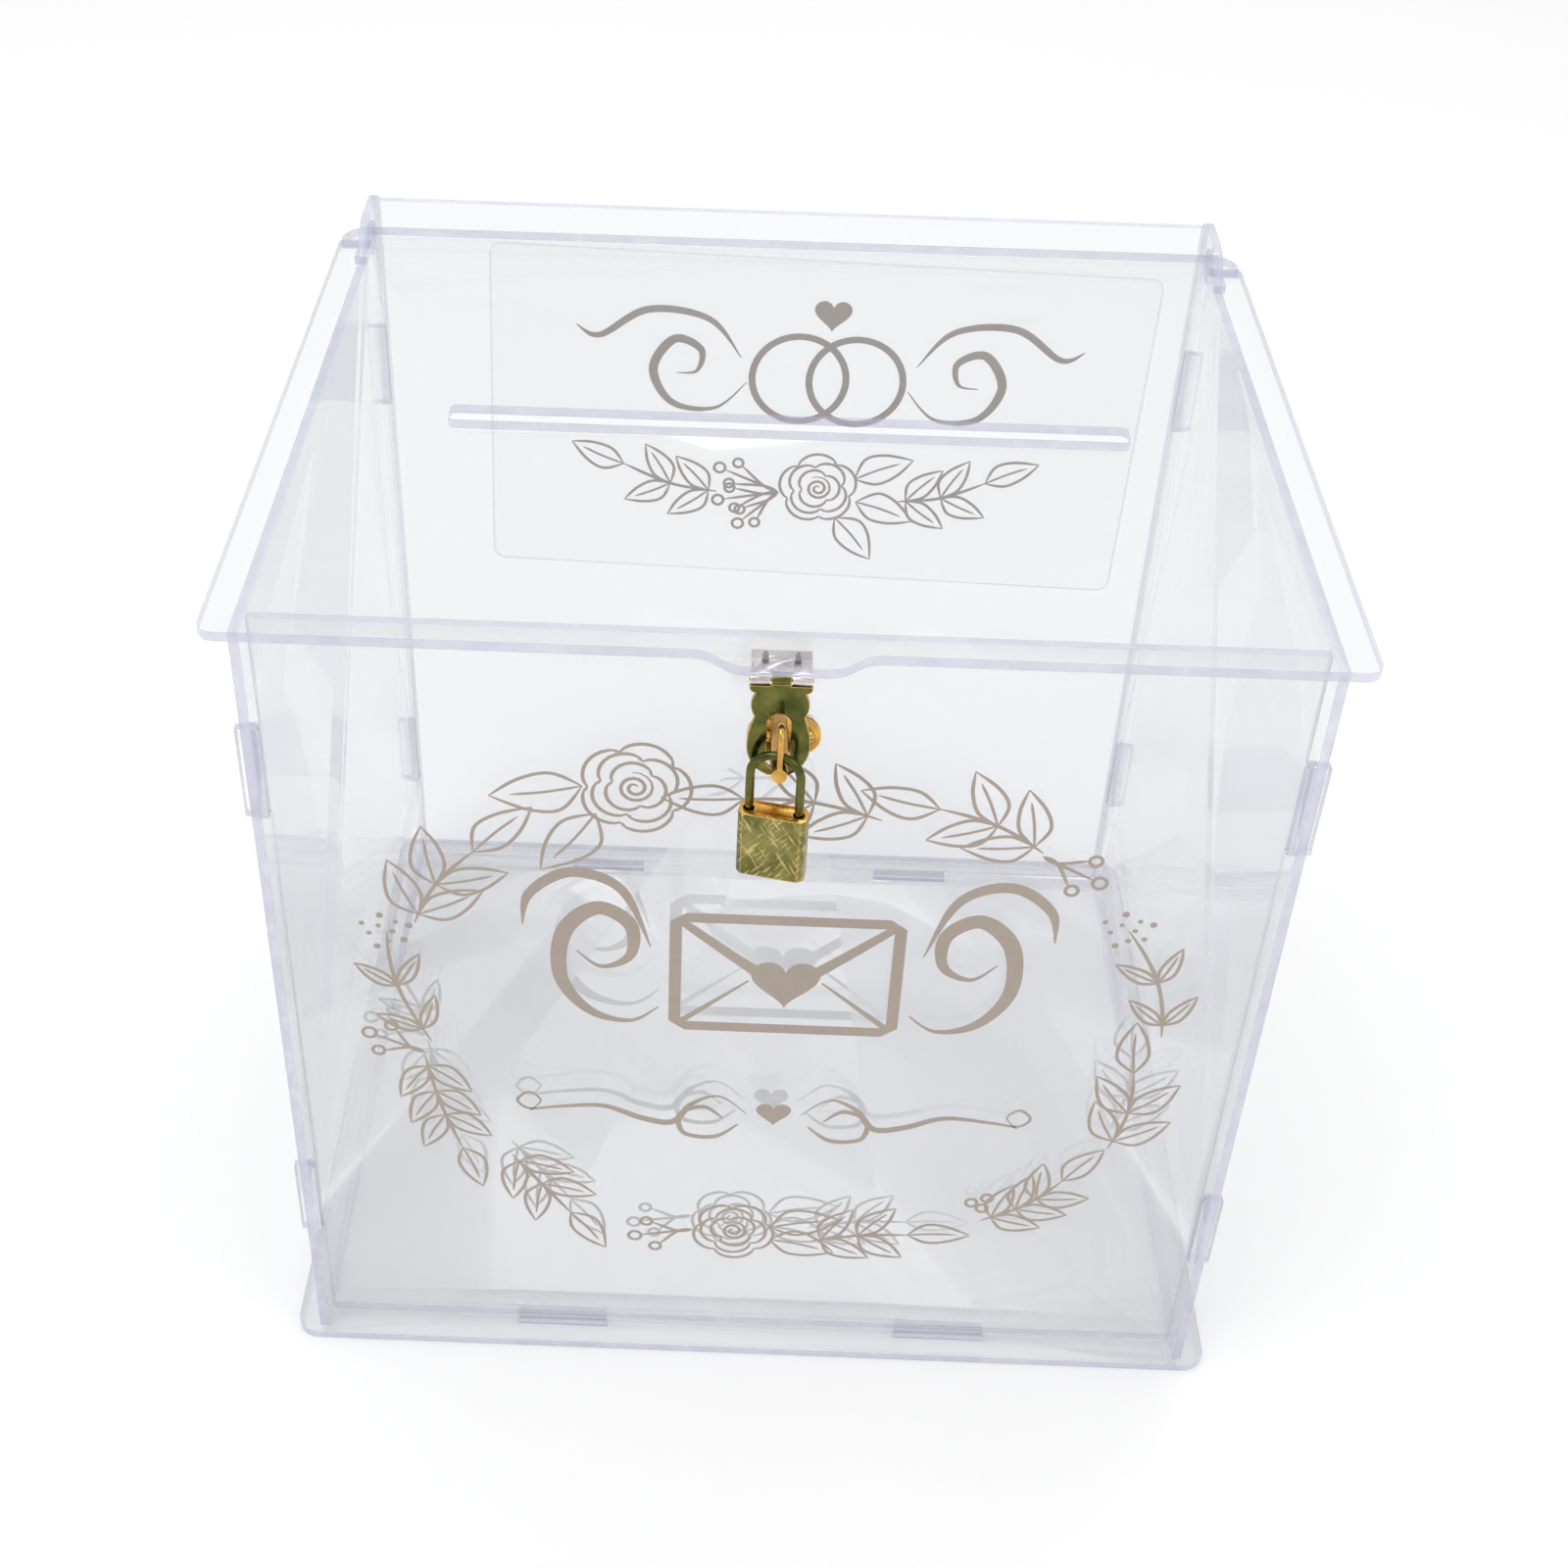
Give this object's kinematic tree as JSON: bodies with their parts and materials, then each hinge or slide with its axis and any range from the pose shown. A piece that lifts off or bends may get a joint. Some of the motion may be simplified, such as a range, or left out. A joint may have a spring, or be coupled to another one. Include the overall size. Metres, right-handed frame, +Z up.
{
  "type": "wedding card box",
  "caption": "Clear acrylic wedding card box with a pivoting lid, a card slot in the lid, and a brass hasp closed by a mini padlock.",
  "frame": {"origin": "middle of the base plate's underside", "axes": "+X to the right as seen from the front, -Y towards the front, +Z up"},
  "size_m": [0.254, 0.2305, 0.2471],
  "materials": {
    "clear_acrylic": "clear polished acrylic sheet with lavender-grey cut edges",
    "clear_film": "clear printed film",
    "antique_brass": "aged brass plating",
    "brushed_brass": "brushed brass",
    "steel": "bright zinc"
  },
  "bodies": {
    "box": {"base_plate": "clear_acrylic", "front_panel": "clear_acrylic", "back_panel": "clear_acrylic", "left_side_panel": "clear_acrylic", "right_side_panel": "clear_acrylic", "back_decal_film": "clear_film", "hasp_staple": "antique_brass", "staple_screw_left": "antique_brass", "staple_screw_right": "antique_brass", "staple_nut_left": "steel", "staple_nut_right": "steel"},
    "lid": {"lid_panel": "clear_acrylic", "hasp_lid_leaf": "antique_brass", "hasp_screw_left": "antique_brass", "hasp_screw_right": "antique_brass", "hasp_hinge_pin": "antique_brass"},
    "strap": {"hasp_strap": "antique_brass"},
    "shackle": {"padlock_shackle": "antique_brass"},
    "lock_case": {"padlock_body": "brushed_brass"},
    "cylinder": {"lock_cylinder": "antique_brass"},
    "bolt": {"latch_bolt": "steel"}
  },
  "joints": [
    {"name": "lid_hinge", "type": "hinge", "parent": "box", "child": "lid", "pos_m": [0, 0.08975, 0.23955], "axis": [-1, 0, 0], "range_deg": [0, 125]},
    {"name": "strap_hinge", "type": "hinge", "parent": "lid", "child": "strap", "pos_m": [-0.0012, -0.1144, 0.2369], "axis": [-1, 0, 0], "range_deg": [-12, 2.5]},
    {"name": "padlock_swing", "type": "hinge", "parent": "box", "child": "shackle", "pos_m": [-0.0015, -0.1185, 0.21975], "axis": [-0.9781, 0.2079, 0], "range_deg": [-5, 140]},
    {"name": "padlock_release", "type": "slide", "parent": "shackle", "child": "lock_case", "axis": [0, 0, -1], "range_m": [0, 0.006]},
    {"name": "cylinder_turn", "type": "hinge", "parent": "lock_case", "child": "cylinder", "pos_m": [-0.0015, -0.1185, 0.19], "axis": [0, 0, 1], "range_deg": [0, 90]},
    {"name": "bolt_throw", "type": "slide", "parent": "lock_case", "child": "bolt", "axis": [-0.9781, 0.2079, 0], "range_m": [0, 0.0009]}
  ],
  "couplings": [
    {"joint": "bolt_throw", "follows": "cylinder_turn", "m_per_rad": 0.00054}
  ]
}
